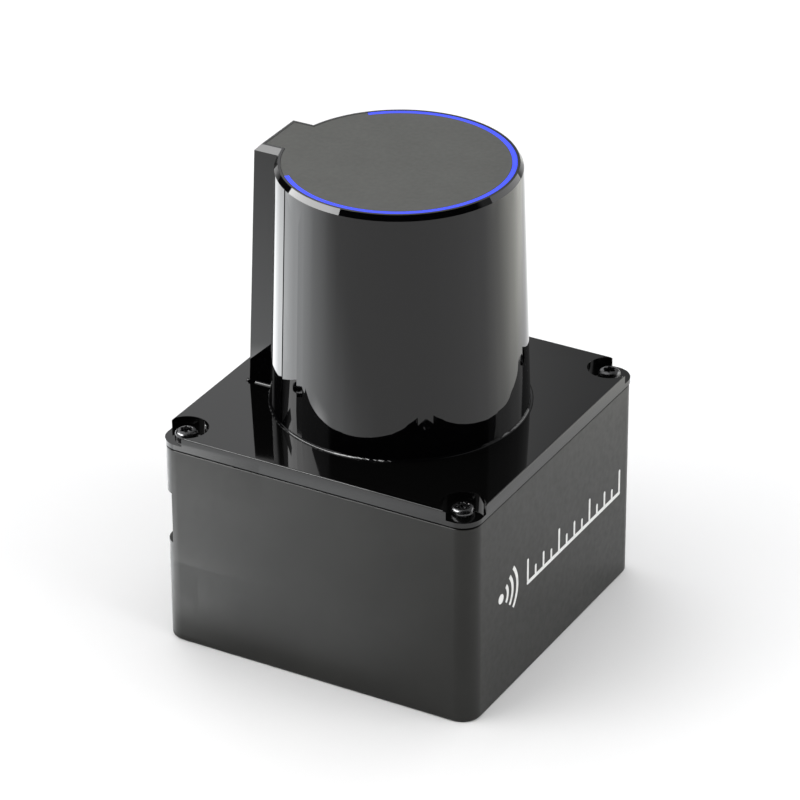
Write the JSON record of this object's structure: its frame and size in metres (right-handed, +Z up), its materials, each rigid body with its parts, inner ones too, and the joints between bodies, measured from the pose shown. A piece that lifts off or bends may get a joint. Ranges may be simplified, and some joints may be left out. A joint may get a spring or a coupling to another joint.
{
  "type": "lidar scanner module",
  "caption": "Square-based scanning rangefinder: a spinning 45 degree mirror in a drafted round hood with a rear fin, a lit sector ring on top, and rear connectors.",
  "frame": {"origin": "centre of the housing's flat underside, on the mirror's axis", "axes": "+Z up along the mirror's axis; +X the middle of the scanned sector, away from the rear fin and connectors"},
  "size_m": [0.0657, 0.0604, 0.085],
  "materials": {
    "housing": "satin moulded black plastic with a fine grain",
    "lid": "polished black",
    "hood": "polished infrared-transmitting black",
    "cap": "even matte dark grey",
    "ring": "translucent blue light guide",
    "rubber": "moulded elastomer",
    "dark_steel": "black-oxide screw steel",
    "steel": "plain steel",
    "board": "green solder mask on glass-epoxy board",
    "chips": "moulded component bodies",
    "led": "white lamp packages",
    "tin": "tinned sheet",
    "gold": "gold-plated",
    "inner_plastic": "glass-filled black plastic",
    "glass": "coated optical glass",
    "black_metal": "black-anodised",
    "flex": "amber polyimide flexible circuit",
    "plate": "machined",
    "brass": "turned",
    "copper": "enamelled copper windings",
    "wire": "insulated wire",
    "nickel": "nickel-plated brass",
    "magnet": "sintered ferrite",
    "mirror": "front-surface coating"
  },
  "bodies": {
    "housing": {"base_housing": "housing", "lid": "lid", "lid_gasket": "rubber", "lid_screws": "dark_steel", "hood_window": "hood", "hood_seal": "rubber", "hood_screws": "steel", "top_cap": "cap", "light_ring": "ring", "head_board": "board", "head_chips": "chips", "ring_leds": "led", "head_shield": "tin", "head_screws": "steel", "detector": "gold", "optics_housing": "inner_plastic", "receiver_lens": "glass", "lens_retainer": "inner_plastic", "laser_tube": "black_metal", "laser_diode": "gold", "collimator_lens": "glass", "laser_flex": "flex", "head_flex": "flex", "bracket_screws": "steel", "chassis_plate": "plate", "chassis_screws": "steel", "bearing_holder": "brass", "motor_screws": "steel", "motor_board": "board", "hall_sensors": "chips", "motor_flex": "flex", "stator_core": "steel", "stator_coils": "copper", "outer_races": "steel", "encoder_sensor": "chips", "upper_board": "board", "upper_board_parts": "chips", "main_board": "board", "main_board_parts": "chips", "board_standoffs": "brass", "board_screws": "steel", "board_header": "brass", "harness_wires": "wire", "power_inlet": "nickel", "power_pins": "gold", "data_inlet": "nickel", "data_insert": "chips", "inlet_seals": "rubber", "inlet_nuts": "nickel"},
    "rotor": {"rotor_shaft": "steel", "rotor_bell": "steel", "ring_magnet": "magnet", "mirror_hub": "black_metal", "mirror": "mirror", "encoder_disc": "black_metal", "balance_weight": "brass", "shaft_clip": "dark_steel", "inner_races": "steel"},
    "upper_balls": {"upper_ball_cage": "steel"},
    "lower_balls": {"lower_ball_cage": "steel"}
  },
  "joints": [
    {"name": "mirror_spin", "type": "hinge", "parent": "housing", "child": "rotor", "pos_m": [0, 0, 0.058], "axis": [0, 0, 1], "continuous": true},
    {"name": "upper_balls_spin", "type": "hinge", "parent": "housing", "child": "upper_balls", "pos_m": [0, 0, 0.0415], "axis": [0, 0, 1], "continuous": true},
    {"name": "lower_balls_spin", "type": "hinge", "parent": "housing", "child": "lower_balls", "pos_m": [0, 0, 0.0347], "axis": [0, 0, 1], "continuous": true}
  ],
  "couplings": [
    {"joint": "upper_balls_spin", "follows": "mirror_spin", "ratio": 0.36364},
    {"joint": "lower_balls_spin", "follows": "mirror_spin", "ratio": 0.36364}
  ]
}
